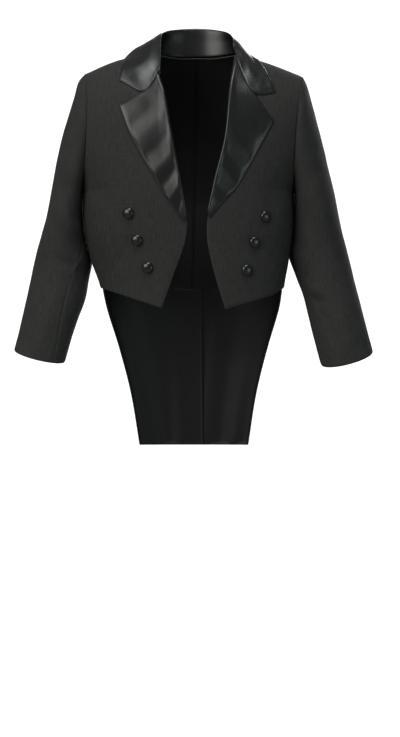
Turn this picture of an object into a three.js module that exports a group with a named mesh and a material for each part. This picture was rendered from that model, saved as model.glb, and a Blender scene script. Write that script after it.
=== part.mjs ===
import * as THREE from "three";

// A child's white tie tailcoat, filled out as if worn. Millimetres, +Z up, front towards -Y.
// The origin is the middle of the neck opening, level with the neck points. "left" is the
// wearer's left (+X) and "right" the wearer's right (-X). side is +1 for left, -1 for right.
// face is -1 for the front of the body and +1 for the back.

// ---- Cloth and seams ----
const wool = 2.0; // wall of the suiting with its stiffening
const satin = 1.5; // wall of the satin collar and lapels
const seam = 0.3; // gap between two pieces at a seam
const layer = 0.4; // gap between two pieces that lie on each other

// ---- Body, as levels of height z from the top down ----
const neckHalf = 60; // neck point, from the middle of the neck
const napeEase = 22; // rounds the top of the back between the two shoulder lines
const napeSlope = 0.36; // how steeply that top rises towards the middle
const pitZ = -178; // bottom of the armhole
const waistZ = -303; // waist seam, at the side
const roundness = 2.35; // power of the oval body section
const centreX = [[20, 1], [-28, -3], [-116, -7.5], [-180, -10.5], [-228, -10], [-269, -8],
  [-303, -5], [-340, -4], [-520, -3]];
const halfWidth = [[20, 140], [-28, 140], [-116, 134.5], [-178, 136.7], [-228, 135.2],
  [-269, 128.4], [-303, 119.5], [-340, 117], [-420, 119], [-520, 121]];
const frontDepth = [[20, 78], [-120, 79], [-180, 80], [-230, 77], [-270, 74], [-303, 73], [-345, 73]];
const backDepth = [[20, 76], [-70, 78], [-130, 81], [-180, 79], [-230, 70], [-280, 62], [-303, 62],
  [-340, 68], [-400, 77], [-520, 86]];
const shoulderRound = { neck: 128, arm: 75.5 }; // height of the rounded top, at neck and armhole

// ---- Armholes: top and bottom points seen from the front, and half depth in Y. crown is how far
// the shoulder line rises in the middle ----
const armholes = {
  1: { top: [138, -28.6], bottom: [127, pitZ], bow: 4, crown: 1.3 },
  [-1]: { top: [-143, -24], bottom: [-147.2, pitZ], bow: -3, crown: 4.7 },
};
const armholeDepth = 47;

// ---- Edges of the fronts seen from the front, [x, z] from the neck point down ----
const frontEdge = {
  1: [[60, 0], [55.5, -4.5], [50.8, -10], [47.2, -24], [43.2, -46], [37.6, -109], [25.1, -162.5], [15.7, -206],
    [14, -225.5], [15, -248], [26.8, -297], [37.6, -331.5]],
  [-1]: [[-60, 0], [-56.5, -5], [-52, -14], [-49.3, -26], [-45.3, -40], [-29.7, -117], [-18.1, -180.5],
    [-12.8, -211], [-11.6, -226], [-15.4, -249], [-29, -287], [-44.6, -330]],
};
const hem = { 1: [[37.6, -331.5], [98.7, -313.5]], [-1]: [[-44.6, -330], [-121, -304.5]] };

// ---- Lapels: top edge from the roll to the tip, roll line, and outer edge down to the break ----
const lapels = {
  1: {
    top: [[49, -4.5], [52.5, -15], [60.5, -36], [75.5, -56.5], [99.5, -90]],
    roll: [[49, -4.5], [46.5, -22], [42.4, -46], [37, -109], [24.5, -162.5], [14.8, -207]],
    outer: [[99.5, -90], [90.3, -106], [66, -150.5], [51, -175.5], [30, -199], [16.6, -214.5]],
  },
  [-1]: {
    top: [[-47.4, -30], [-53.5, -40.5], [-68, -53.5], [-98, -70]],
    roll: [[-47.4, -30], [-44.5, -40], [-40, -53], [-29.1, -117], [-17.5, -180.5], [-12.7, -211]],
    outer: [[-98, -70], [-81.6, -112.5], [-60, -151.5], [-39.4, -186], [-25.5, -206], [-14, -220.5]],
  },
};
const rollLift = 3.2; // how far a folded lapel stands off the front at its roll

// ---- Sleeves: rings from the armhole to the cuff. out and in are the outer and inner points
// seen from the front, deep is the half depth in Y, y is the middle of the ring, and drop is
// how far its front hangs below the line from out to in ----
const sleeves = {
  1: [
    { out: [144, -39.5], in: [128.2, -185], deep: 49, y: 0.5 },
    { out: [151.3, -64], in: [128.3, -192.5], deep: 50.5, y: 3 },
    { out: [159.5, -95], in: [127.9, -202], deep: 51.5, y: 6 },
    { out: [169.3, -135], in: [127, -213], deep: 52, y: 9 },
    { out: [180, -178], in: [125.8, -226], deep: 51.5, y: 12 },
    { out: [188.8, -222], in: [124.2, -242], deep: 50, y: 14 },
    { out: [198.6, -262], in: [121.8, -263], deep: 47, y: 14 },
    { out: [207, -296], in: [129.8, -287], deep: 44.5, y: 11 },
    { out: [214.6, -326], in: [140, -316], deep: 41, y: 5 },
    { out: [222.4, -358], in: [150.5, -359], deep: 36, y: -3, drop: 4 },
    { out: [229.4, -386], in: [162, -403], deep: 31.5, y: -10, drop: 8 },
  ],
  [-1]: [
    { out: [-152.6, -35], in: [-148.4, -185], deep: 49, y: 0.5 },
    { out: [-160.2, -60], in: [-149, -193], deep: 50.5, y: 3 },
    { out: [-170.3, -92], in: [-148.6, -202.5], deep: 51.5, y: 6 },
    { out: [-180.4, -132], in: [-147.6, -214], deep: 52, y: 9 },
    { out: [-188.2, -175], in: [-146, -227], deep: 51.5, y: 12 },
    { out: [-198, -221], in: [-143.2, -243], deep: 50, y: 14 },
    { out: [-209.2, -262], in: [-136.6, -268], deep: 47, y: 14 },
    { out: [-216.8, -297], in: [-139.5, -293], deep: 44.5, y: 11 },
    { out: [-222.8, -326], in: [-144.8, -320], deep: 41, y: 5 },
    { out: [-229, -354], in: [-156.5, -352], deep: 36, y: -3, drop: 3 },
    { out: [-236.2, -383.5], in: [-170, -399], deep: 31.5, y: -10, drop: 6 },
  ],
};
// Both sleeve seams, in degrees round the ring from its outer point: the front one at each ring
// from the armhole down, and the back one.
const frontSeam = {
  1: [165, 165, 165, 165, 165, 165, 165, 162, 158, 155, 152, 150],
  [-1]: [165, 165, 165, 165, 165, 162, 150, 126, 114, 110, 116, 125],
};
const backSeamTo = 240;
// Behind the arm's inner side the cloth hangs slack towards the body: how far at each ring from the
// armhole down, fading out at these two angles.
const innerSlack = [0, 0, 4, 7, 9, 9, 9, 5, 0, 0, 0, 0];
const slackFrom = Math.PI, slackTo = (255 * Math.PI) / 180;
const sleeveColumns = { top: 19, under: 5 };

// ---- Collar: rows across it from the foot of the stand, over the fold, to the edge of the fall.
// foot and fold are points [x, y, z]; fall holds spots on the body, [x, z, face, lift] ----
const collarHalf = {
  1: [
    { foot: [50.8, -18.5, -0.4], fold: [48.4, -18.5, 7],
      fall: [[52.6, -9.5, -1, 3.4], [61.6, -35.3, -1, 1.6], [76.5, -55.2, -1, 0.8], [101.6, -52.5, -1, 0.6]] },
    { foot: [53.6, -14, 0.2], fold: [48, -14.5, 11.5],
      fall: [[57.5, -2.5, -1, 5], [68, -21.5, -1, 2.4], [81, -36, -1, 1.2], [96, -39, -1, 0.8]] },
    { foot: [55.6, -8, 1.2], fold: [47.4, -8, 18],
      fall: [[55.5, -10, 14], [68.5, -7.5, -1, 3.4], [78.5, -16, -1, 1.4], [87.5, -21, -1, 0.9]] },
    { foot: [57, 0, 2.2], fold: [46.4, 3, 24],
      fall: [[54.5, 2, 19], [63, 1, 8.5], [70, -4.6, -1, 2.2], [77, -6.9, -1, 1]] },
    { foot: [46.6, 16.2, 2.8], fold: [39.5, 22, 31.5],
      fall: [[47, 29, 25], [56, 33, 9], [63, 32, -4], [70, -14, 1, 1]] },
    { foot: [24.5, 30.6, 1.2], fold: [21.5, 33.5, 35.5],
      fall: [[24.5, 42, 30.5], [29.5, 47, 14], [33.5, 49, -2], [37, -18, 1, 1]] },
  ],
  [-1]: [
    { foot: [-45.3, -29.5, -1, -0.4], fold: [-45.6, -24.5, -1, 3.4],
      fall: [[-51.2, -31.6, -1, 2.8], [-55, -39.2, -1, 2.2], [-69, -52, -1, 1.2], [-98.2, -37, -1, 1.2]] },
    { foot: [-49.3, -35.5, -11], fold: [-46.2, -35, -4],
      fall: [[-55, -12, -1, 5.5], [-66, -18, -1, 5], [-79, -24, -1, 3.4], [-96.5, -24.5, -1, 1.6]] },
    { foot: [-52.8, -20.5, -2], fold: [-46, -19, 11],
      fall: [[-56, -16, 15], [-69, -16.5, 8.5], [-81.5, -16.5, 1.5], [-94, -14.5, -1, 1.6]] },
    { foot: [-56.8, -1, 1.8], fold: [-44.6, 0, 27],
      fall: [[-55.5, 1, 22.5], [-67.5, 0.5, 14.5], [-79, 0, 7.5], [-89.5, -1, -1.6]] },
    { foot: [-46, 16.4, 2.4], fold: [-37.5, 22, 33],
      fall: [[-47, 29, 27.5], [-58.5, 33, 13.5], [-69.5, 32, 1], [-79.5, -13, 1, 1.5]] },
    { foot: [-23, 31, 0.6], fold: [-19.5, 34, 36],
      fall: [[-23, 42.5, 31], [-28.5, 47.5, 14], [-33, 49.5, -2], [-37.5, -18, 1, 1]] },
  ],
};
const collarBack = { foot: [1, 34.8, 1], fold: [1, 37, 37],
  fall: [[1, 45, 32], [1, 50.5, 15], [1, 52, -1], [1, -18, 1, 1]] };

// ---- Back seams and tails ----
const backNeckTurn = 0.5; // how far the back neckline drops over the rounded top, in radians
const backSeamTurn = 5; // rings of the armhole taken by the side body before its seam turns down
const backSeam = [[-116, 0], [-178, 100], [-228, 70], [-269, 50], [-303, 42]];
const tailBottom = -508;
const tailEdge = [[-303, 118], [-330, 113], [-380, 98], [-440, 83], [-508, 72]]; // outer edge, from the centre
const tailLap = 12; // how far each tail passes the centre line at the vent

// ---- Buttons ----
const button = { radius: 7.2, rim: 1.6, height: 5.2 };
const buttonSpots = {
  1: [[88.6, -212], [74.9, -245], [65, -281]],
  [-1]: [[-86.6, -208.5], [-75.8, -243], [-62, -278]],
};

// ================= Small helpers =================
const lerp = (a, b, t) => a + (b - a) * t;
const mix = (p, q, t) => p.map((v, i) => lerp(v, q[i], t));
const range = (n) => Array.from({ length: n + 1 }, (_, i) => i);

// The value at z in a list of [z, value], from the top down, eased between its rows.
function level(list, z) {
  if (z >= list[0][0]) return list[0][1];
  for (let i = 1; i < list.length; i++) {
    if (z < list[i][0]) continue;
    const t = (list[i - 1][0] - z) / (list[i - 1][0] - list[i][0]);
    const before = list[Math.max(0, i - 2)], a = list[i - 1], b = list[i];
    const after = list[Math.min(list.length - 1, i + 1)];
    const span = b[0] - a[0];
    const ma = ((b[1] - before[1]) / (b[0] - before[0])) * span;
    const mb = ((after[1] - a[1]) / (after[0] - a[0])) * span;
    const t2 = t * t, t3 = t2 * t;
    return (2 * t3 - 3 * t2 + 1) * a[1] + (t3 - 2 * t2 + t) * ma + (3 * t2 - 2 * t3) * b[1] + (t3 - t2) * mb;
  }
  return list[list.length - 1][1];
}

// A point at share t of the length of a polyline.
function along(points, t) {
  const steps = points.slice(1).map((p, i) => Math.hypot(...p.map((v, k) => v - points[i][k])));
  let rest = Math.min(Math.max(t, 0), 1) * steps.reduce((a, b) => a + b, 0);
  for (let i = 0; i < steps.length; i++) {
    if (rest <= steps[i] || i === steps.length - 1) return mix(points[i], points[i + 1], rest / steps[i]);
    rest -= steps[i];
  }
}

// The x on a polyline of [x, z] at height z.
function xAt(points, z) {
  for (let i = 1; i < points.length; i++) {
    const [x0, z0] = points[i - 1], [x1, z1] = points[i];
    if (z >= z1 || i === points.length - 1) return lerp(x0, x1, (z0 - z) / (z0 - z1));
  }
}

// ================= Body surface =================
// The outer face of the body: top of the shoulder at x, height of its rounding, and the point at [x, z].
const armX = (side) => Math.abs(armholes[side].top[0]);
const reach = (x) => Math.hypot(x, napeEase) - Math.hypot(neckHalf, napeEase);
const topZ = (x) => {
  const { top, crown } = armholes[x < 0 ? -1 : 1];
  const share = Math.min(1, Math.max(0, (Math.abs(x) - neckHalf) / (Math.abs(top[0]) - neckHalf)));
  const slope = Math.abs(x) < neckHalf ? -napeSlope : top[1] / reach(top[0]);
  return reach(x) * slope + crown * Math.sin(Math.PI * share) ** 1.3;
};
const roundAt = (x) => lerp(shoulderRound.neck, shoulderRound.arm, Math.min(1, Math.max(0, (Math.abs(x) - 48) / 92)));

function wideAt(z, depth) {
  const half = level(halfWidth, z);
  if (z <= pitZ) return half;
  const middle = pitZ + shoulderRound.arm;
  const y = z > middle ? 1 : Math.sqrt(Math.max(0, 1 - ((z - middle) / shoulderRound.arm) ** 2));
  return half / (1 - Math.pow((armholeDepth * y) / depth, roundness)) ** (1 / roundness);
}

function bodyPoint(x, z, face, out = 0) {
  const depth = level(face < 0 ? frontDepth : backDepth, z);
  const s = Math.min(1, Math.abs(x - level(centreX, z)) / wideAt(z, depth));
  const drop = Math.min(1, Math.max(0, (topZ(x) - z) / roundAt(x)));
  const round = Math.sqrt(1 - (1 - drop) ** 2);
  return [x, face * (round * depth * (1 - s ** roundness) ** (1 / roundness) + out), z];
}

// The body's outward normal, from its slope over a small step.
function bodyNormal(x, z, face) {
  const e = 1.5;
  const yx = (bodyPoint(x + e, z, face)[1] - bodyPoint(x - e, z, face)[1]) / (2 * e);
  const yz = (bodyPoint(x, z + e, face)[1] - bodyPoint(x, z - e, face)[1]) / (2 * e);
  return new THREE.Vector3(-yx, 1, -yz).multiplyScalar(face).normalize();
}

// A spot on the body at [x, z], moved out along the normal.
function spot(x, z, face, lift) {
  const low = Math.min(z, topZ(x) - 0.6);
  const n = bodyNormal(x, low, face);
  const p = bodyPoint(x, low, face);
  const rise = z - low;
  return [p[0] + n.x * lift, p[1] + n.y * lift, p[2] + n.z * lift + rise];
}

// Moves a point of a piece that lies on the body out along the normal until it clears it.
function clearOf(p, need) {
  const [x, , z] = p;
  const face = p[1] < 0 ? -1 : 1;
  if (z > topZ(x) - 0.2) return p;
  const n = bodyNormal(x, z, face);
  const short = need - face * (p[1] - bodyPoint(x, z, face)[1]) * Math.abs(n.y);
  return short > 0 ? [x + n.x * short, p[1] + n.y * short, z + n.z * short] : p;
}

// The armhole as a ring: angle 0 at the shoulder, a quarter turn at the front, half a turn at the pit.
function armhole(side, angle) {
  const { top, bottom, bow } = armholes[side];
  const [x, z] = mix(top, bottom, (1 - Math.cos(angle)) / 2);
  return [x - bow * Math.sin(angle) ** 2, -armholeDepth * Math.sin(angle), z];
}

// ================= Sheets =================
// A closed wall from a grid of points on its outer face: rows of columns. flip is set where
// rows x columns points inwards, and both faces shrink by half a seam at every edge.
// firstNormal turns the wall of the first row, where it meets a neighbour at an angle.
function sheet(grid, thickness, flip, firstNormal = (c, own) => own) {
  const nr = grid.length, nc = grid[0].length;
  const v = grid.map((row) => row.map((p) => new THREE.Vector3(...p)));
  const slope = (get, i, n) => {
    if (i === 0) return get(1).clone().multiplyScalar(4).sub(get(2)).addScaledVector(get(0), -3);
    if (i === n - 1) return get(n - 2).clone().multiplyScalar(-4).add(get(n - 3)).addScaledVector(get(n - 1), 3);
    return get(i + 1).clone().sub(get(i - 1));
  };
  const normals = v.map((row, r) => row.map((_, c) => {
    const dc = slope((i) => v[r][i], c, nc), dr = slope((i) => v[i][c], r, nr);
    const n = dr.cross(dc).normalize();
    if (flip) n.negate();
    return r === 0 ? firstNormal(c, n) : n;
  }));
  const pull = (p, q) => q.clone().sub(p).normalize().multiplyScalar(seam / 2);
  const outer = v.map((row, r) => row.map((p, c) => {
    const moved = p.clone();
    if (r === 0) moved.add(pull(p, v[1][c]));
    if (r === nr - 1) moved.add(pull(p, v[nr - 2][c]));
    if (c === 0) moved.add(pull(p, v[r][1]));
    if (c === nc - 1) moved.add(pull(p, v[r][nc - 2]));
    return moved;
  }));
  const inner = outer.map((row, r) => row.map((p, c) => p.clone().addScaledVector(normals[r][c], -thickness)));
  const position = [...outer.flat(), ...inner.flat()].flatMap((p) => [p.x, p.y, p.z]);
  const index = [];
  const at = (r, c, deep) => deep * nr * nc + r * nc + c;
  const quad = (a, b, c, d) => (flip ? index.push(a, c, b, a, d, c) : index.push(a, b, c, a, c, d));
  for (let r = 0; r < nr - 1; r++) {
    for (let c = 0; c < nc - 1; c++) {
      quad(at(r, c, 0), at(r + 1, c, 0), at(r + 1, c + 1, 0), at(r, c + 1, 0));
      quad(at(r, c, 1), at(r, c + 1, 1), at(r + 1, c + 1, 1), at(r + 1, c, 1));
    }
    quad(at(r, 0, 0), at(r, 0, 1), at(r + 1, 0, 1), at(r + 1, 0, 0));
    quad(at(r, nc - 1, 1), at(r, nc - 1, 0), at(r + 1, nc - 1, 0), at(r + 1, nc - 1, 1));
  }
  for (let c = 0; c < nc - 1; c++) {
    quad(at(0, c, 1), at(0, c, 0), at(0, c + 1, 0), at(0, c + 1, 1));
    quad(at(nr - 1, c, 0), at(nr - 1, c, 1), at(nr - 1, c + 1, 1), at(nr - 1, c + 1, 0));
  }
  const geometry = new THREE.BufferGeometry();
  geometry.setAttribute("position", new THREE.Float32BufferAttribute(position, 3));
  geometry.setIndex(index);
  geometry.computeVertexNormals();
  return geometry;
}

// ================= Rows that neighbours share =================
const ringStep = Math.PI / 12;
const upperRows = 12; // from the shoulder to the pit along the armhole
const lowerRows = 8; // from the pit to the waist
const frontColumns = 10;
const sideZ = (side, k) => lerp(pitZ, hemSide(side)[1], k / lowerRows);
const hemSide = (side) => [level(centreX, waistZ) + side * level(halfWidth, waistZ), waistZ];
const sidePoint = (side, k) => {
  const z = sideZ(side, k);
  return [level(centreX, z) + side * level(halfWidth, z), 0, z];
};

// The height at x of a row that has gone a given turn over the rounded shoulder.
const turnZ = (x, turn) => topZ(x) - roundAt(x) * (1 - Math.cos(turn));

// A row of a front between an inner edge [x, z] and target, a point on its outer edge. The first
// rows follow the rounded shoulder, and lower rows go round the side of the body by angle.
function frontRow(side, inner, target, turn, crowd, byAngle) {
  const outer = [target[0], target[2]];
  const bySpan = (u) => {
    const share = Math.sin((u * crowd * Math.PI) / 2) / Math.sin((crowd * Math.PI) / 2);
    const x = lerp(inner[0], outer[0], share);
    return bodyPoint(x, turn < Math.PI / 2 ? turnZ(x, turn) : lerp(inner[1], outer[1], share), -1);
  };
  const half = roundness / 2;
  const wide = (z) => wideAt(z, level(frontDepth, z));
  const from = Math.asin(Math.max(0, (side * (inner[0] - level(centreX, inner[1]))) / wide(inner[1])) ** half);
  const to = Math.acos((-target[1] / level(frontDepth, outer[1])) ** half);
  const round = (u) => {
    const angle = lerp(from, to, u), across = (a) => Math.sin(a) ** (1 / half);
    const z = lerp(inner[1], outer[1], (across(angle) - across(from)) / (across(to) - across(from)));
    return [level(centreX, z) + side * wide(z) * across(angle), -level(frontDepth, z) * Math.cos(angle) ** (1 / half), z];
  };
  const row = range(frontColumns).map((c) => {
    const u = c / frontColumns;
    return byAngle > 0 ? mix(bySpan(u), round(u), byAngle) : bySpan(u);
  });
  const miss = target.map((v, i) => v - row[frontColumns][i]);
  return row.map((p, c) => p.map((v, i) => v + miss[i] * (c / frontColumns) ** 4));
}

// The [x, z] on an edge where it meets row k of the rounded shoulder.
function onTurn(edge, turn) {
  let z = edge[0][1];
  for (let i = 0; i < 12; i++) {
    const x = xAt(edge, z);
    z = turnZ(x, turn);
  }
  return [xAt(edge, z), z];
}

// ================= Pieces =================
function frontPanel(side) {
  const edge = frontEdge[side];
  const turned = onTurn(edge, Math.PI / 2);
  const breakZ = edge[8][1];
  const rows = range(upperRows + lowerRows).map((k) => {
    const turn = Math.min(Math.PI, k * ringStep), crowd = lerp(0.45, 1, Math.min(1, Math.max(0, (k - 5) / 4)));
    const byAngle = Math.min(1, Math.max(0, (k - 6) / 3));
    if (k <= 6) return frontRow(side, onTurn(edge, turn), armhole(side, turn), turn, crowd, 0);
    const end = k <= upperRows ? armhole(side, turn) : sidePoint(side, k - upperRows);
    const z = k <= upperRows ? lerp(turned[1], breakZ, (k - 6) / 6)
      : lerp(breakZ, edge[edge.length - 1][1], (k - upperRows) / lowerRows);
    return frontRow(side, [xAt(edge, z), z], end, turn, crowd, byAngle);
  });
  hemRows(rows, side);
  return sheet(rows, wool, side < 0);
}

// Brings the lowest rows of a front onto its hem line, and eases the rows above.
function hemRows(rows, side) {
  const line = [...hem[side], hemSide(side)];
  const last = rows.length - 1;
  rows[last].forEach((p, c) => {
    if (c === 0 || c === rows[last].length - 1) return;
    const z = zOnHem(line, p[0]);
    range(3).forEach((up) => {
      const q = rows[last - up][c];
      rows[last - up][c] = bodyPoint(q[0], q[2] + (z - p[2]) * (1 - up / 4), -1);
    });
  });
}

function zOnHem(line, x) {
  for (let i = 1; i < line.length; i++) {
    if (Math.abs(x) <= Math.abs(line[i][0]) || i === line.length - 1) {
      return lerp(line[i - 1][1], line[i][1], (x - line[i - 1][0]) / (line[i][0] - line[i - 1][0]));
    }
  }
}

// The curved back seam: on the armhole at its top, then down to the waist near the centre.
function backSeamPoint(side, k) {
  if (k === 0) return armhole(side, Math.PI + backSeamTurn * ringStep);
  const start = armhole(side, Math.PI + backSeamTurn * ringStep);
  const z = lerp(start[2], waistZ, k / lowerRows);
  const from = Math.abs(start[0] - level(centreX, start[2]));
  const list = [[start[2], from], ...backSeam.slice(1)];
  return bodyPoint(level(centreX, z) + side * level(list, z), z, 1);
}

function sideBody(side) {
  const rows = range(lowerRows).map((k) => {
    const from = sidePoint(side, k), to = backSeamPoint(side, k);
    return range(backSeamTurn).map((c) => {
      const u = c / backSeamTurn;
      const ring = armhole(side, Math.PI + c * ringStep);
      if (k === 0) return ring;
      const z = lerp(from[2], to[2], u) + (k < 5 ? (ring[2] - lerp(pitZ, armholeLine(side), u)) * (1 - k / 5) : 0);
      const cx = level(centreX, z);
      const a = Math.PI / 2;
      const b = Math.asin(Math.min(1, Math.abs(to[0] - cx) / wideAt(z, level(backDepth, z))));
      const x = c === 0 ? from[0] : c === backSeamTurn ? to[0]
        : cx + side * wideAt(z, level(backDepth, z)) * Math.sin(lerp(a, b, u));
      return c === 0 ? from : c === backSeamTurn ? to : bodyPoint(x, z, 1);
    });
  });
  return sheet(rows, wool, side < 0);
}

const armholeLine = (side) => armhole(side, Math.PI + backSeamTurn * ringStep)[2];

function centreBackX(z) {
  return z > waistZ ? lerp(1, -5, -z / -waistZ) : lerp(-5, -3, (z - waistZ) / (tailBottom - waistZ));
}

function backPanel(side) {
  const top = 12 - backSeamTurn; // rings from the shoulder to the back seam
  const columns = 8, neckColumn = 3;
  const rows = range(top + lowerRows).map((k) => {
    const outer = k <= top ? armhole(side, -k * ringStep) : backSeamPoint(side, k - top);
    return range(columns).map((c) => {
      const far = c <= neckColumn ? (c / neckColumn) * neckHalf : 0;
      const share = c <= neckColumn ? 0 : (c - neckColumn) / (columns - neckColumn);
      if (k <= 6) {
        const width = Math.abs(outer[0]);
        const x = side * (c <= neckColumn ? far * (width / armX(side)) : lerp(neckHalf * (width / armX(side)), width, share));
        const neck = backNeckTurn * (1 - Math.min(1, Math.abs(x) / neckHalf) ** 2.4);
        const turn = lerp(neck, Math.PI / 2, k / 6);
        const shift = c === 0 ? centreBackX(0) : 0;
        return bodyPoint(x + shift, turnZ(x, turn), 1);
      }
      const t = (k - 6) / (top + lowerRows - 6);
      const z0 = lerp(topZ(0) - roundAt(0), waistZ, t);
      const u = c / columns;
      const x = lerp(centreBackX(z0), outer[0], lerp(c <= neckColumn ? (u / 0.375) * (neckHalf / armX(side)) : lerp(neckHalf / armX(side), 1, share), u, Math.min(1, t * 3)));
      return bodyPoint(x, lerp(z0, outer[2], u), 1);
    });
  });
  rows.forEach((row, k) => {
    const outer = k <= top ? armhole(side, -k * ringStep) : backSeamPoint(side, k - top);
    const miss = outer.map((v, i) => v - row[columns][i]);
    rows[k] = row.map((p, c) => p.map((v, i) => v + miss[i] * (c / columns) ** 3));
  });
  return sheet(rows, wool, side > 0);
}

// A tail hangs from the waist seam; the left one laps over the right at the centre vent.
function tail(side) {
  const columns = 11, rowsDown = 9;
  const rows = range(rowsDown).map((k) => {
    const z = lerp(waistZ, tailBottom, k / rowsDown);
    const cx = level(centreX, z);
    const near = centreBackX(z) - side * tailLap;
    const far = cx + side * level(tailEdge, z);
    const wide = level(halfWidth, z);
    return range(columns).map((c) => {
      const a = Math.asin((near - cx) / wide), b = Math.asin((far - cx) / wide);
      const x = cx + wide * Math.sin(lerp(a, b, c / columns));
      const inLap = Math.min(1, Math.max(0, 1 - (side * (x - centreBackX(z)) - tailLap - 2) / 18));
      const out = side > 0 ? inLap * inLap * (3 - 2 * inLap) * (wool + 2 * seam) : 0;
      return bodyPoint(x, z, 1, out);
    });
  });
  return sheet(rows, wool, side > 0);
}

// A ring of the sleeve, rounded, as the point at an angle from its outer point towards the front.
function sleevePoint(side, k, angle) {
  if (k === 0) return armhole(side, angle);
  const { out, in: inner, deep, y, drop = 0 } = sleeves[side][k - 1];
  const [x, z] = mix(out, inner, (1 - Math.cos(angle)) / 2);
  const bow = armholes[side].bow * Math.sin(angle) ** 2 * Math.max(0, 1 - k / 5);
  const round = (angle + 2 * Math.PI) % (2 * Math.PI);
  const share = Math.min(1, Math.max(0, (round - slackFrom) / (slackTo - slackFrom)));
  const slack = side * innerSlack[k] * Math.sin(Math.PI * share) ** 2;
  return [x - bow - slack, y - deep * Math.sin(angle), z - drop * Math.sin(angle)];
}

// from and to give the angles of its two seams at ring k, in degrees.
function sleevePiece(side, from, to, columns) {
  const angleAt = (k, c) => (lerp(from(k), to(k), c / columns) * Math.PI) / 180;
  const ring = (k) => range(columns).map((c) => sleevePoint(side, k, angleAt(k, c)));
  const rows = range(sleeves[side].length).map(ring);
  // At the shoulder the sleeve's edge stands square to the body, so the two walls don't cross.
  const square = (c, own) => {
    const angle = angleAt(0, c), share = Math.max(0, Math.cos(angle));
    const body = new THREE.Vector3(0, -Math.sin(angle), Math.cos(angle));
    return own.clone().lerp(body, share ** 0.5).normalize();
  };
  return sheet(rows, wool, side > 0, square);
}

const onFront = (x, z, lift) => spot(x, z, -1, lift);

// A lapel lies on its front from the roll line outwards, made from the front's own points.
function lapel(side) {
  const { top, roll, outer } = lapels[side];
  const rowsDown = 14, columns = 6;
  const bottom = [roll[roll.length - 1], outer[outer.length - 1]];
  const rows = range(rowsDown).map((k) => {
    const v = k / rowsDown;
    return range(columns).map((c) => {
      const u = c / columns;
      const t = along(top, u), b = along(bottom, u), l = along(roll, v), r = along(outer, v);
      const corner = [0, 1].map((i) => (1 - u) * (1 - v) * top[0][i] + u * (1 - v) * outer[0][i]
        + (1 - u) * v * bottom[0][i] + u * v * bottom[1][i]);
      const [x, z] = [0, 1].map((i) => (1 - v) * t[i] + v * b[i] + (1 - u) * l[i] + u * r[i] - corner[i]);
      return onFront(x, z, layer + satin + rollLift * (1 - u) ** 2 * (1 - 0.5 * v));
    });
  });
  return sheet(rows, satin, side < 0);
}

// The collar: a stand round the neck and a fall turned over it, in one piece.
function collar() {
  const place = (p) => (p.length === 3 ? p : spot(p[0], p[1], p[2], p[3] + satin + layer));
  const across = (s) => [place(s.foot), mix(place(s.foot), place(s.fold), 0.5), place(s.fold),
    ...s.fall.map(place)];
  const stations = [...collarHalf[-1].map(across), across(collarBack), ...collarHalf[1].map(across).reverse()];
  const smooth = new THREE.CatmullRomCurve3();
  const rows = range((stations.length - 1) * 2).map((k) => stations[0].map((_, c) => {
    smooth.points = stations.map((s) => new THREE.Vector3(...s[c]));
    const p = smooth.getPoint(k / ((stations.length - 1) * 2)).toArray();
    return c > 2 ? clearOf(p, satin + layer + 0.5) : p;
  }));
  return sheet(rows, satin, false);
}

// A covered button: a flat base, a short rim and a dome.
function buttonAt(side, [x, z]) {
  const { radius, rim, height } = button;
  const dome = range(3).map((i) => {
    const a = (i / 4) * (Math.PI / 2);
    return new THREE.Vector2(radius * Math.cos(a), rim + (height - rim) * Math.sin(a));
  });
  const profile = [new THREE.Vector2(0, 0), new THREE.Vector2(radius * 0.86, 0), ...dome, new THREE.Vector2(0, height)];
  const geometry = new THREE.LatheGeometry(profile, 14);
  const n = bodyNormal(x, z, -1);
  geometry.applyQuaternion(new THREE.Quaternion().setFromUnitVectors(new THREE.Vector3(0, 1, 0), n));
  return geometry.translate(...onFront(x, z, layer + 0.2));
}

// ================= Assembly =================
const woolCloth = () => new THREE.MeshStandardMaterial({ color: 0x1b1c1e, roughness: 0.92, metalness: 0 });
const satinCloth = () => new THREE.MeshStandardMaterial({ color: 0x23262a, roughness: 0.42, metalness: 0 });

const group = new THREE.Group();
function add(name, geometry, material) {
  const mesh = new THREE.Mesh(geometry, material);
  mesh.name = name;
  group.add(mesh);
}

for (const [name, side] of [["left", 1], ["right", -1]]) {
  add("front_" + name, frontPanel(side), woolCloth());
  add("side_body_" + name, sideBody(side), woolCloth());
  add("back_" + name, backPanel(side), woolCloth());
  add("tail_" + name, tail(side), woolCloth());
  const front = (k) => frontSeam[side][k], back = () => backSeamTo;
  add("top_sleeve_" + name, sleevePiece(side, () => backSeamTo - 360, front, sleeveColumns.top), woolCloth());
  add("under_sleeve_" + name, sleevePiece(side, front, back, sleeveColumns.under), woolCloth());
  add("lapel_" + name, lapel(side), satinCloth());
  buttonSpots[side].forEach((p, i) => add("button_" + name + "_" + (i + 1), buttonAt(side, p), satinCloth()));
}
add("collar", collar(), satinCloth());

export default group;
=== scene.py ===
import math
import bpy
from mathutils import Matrix, Vector, noise


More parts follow.
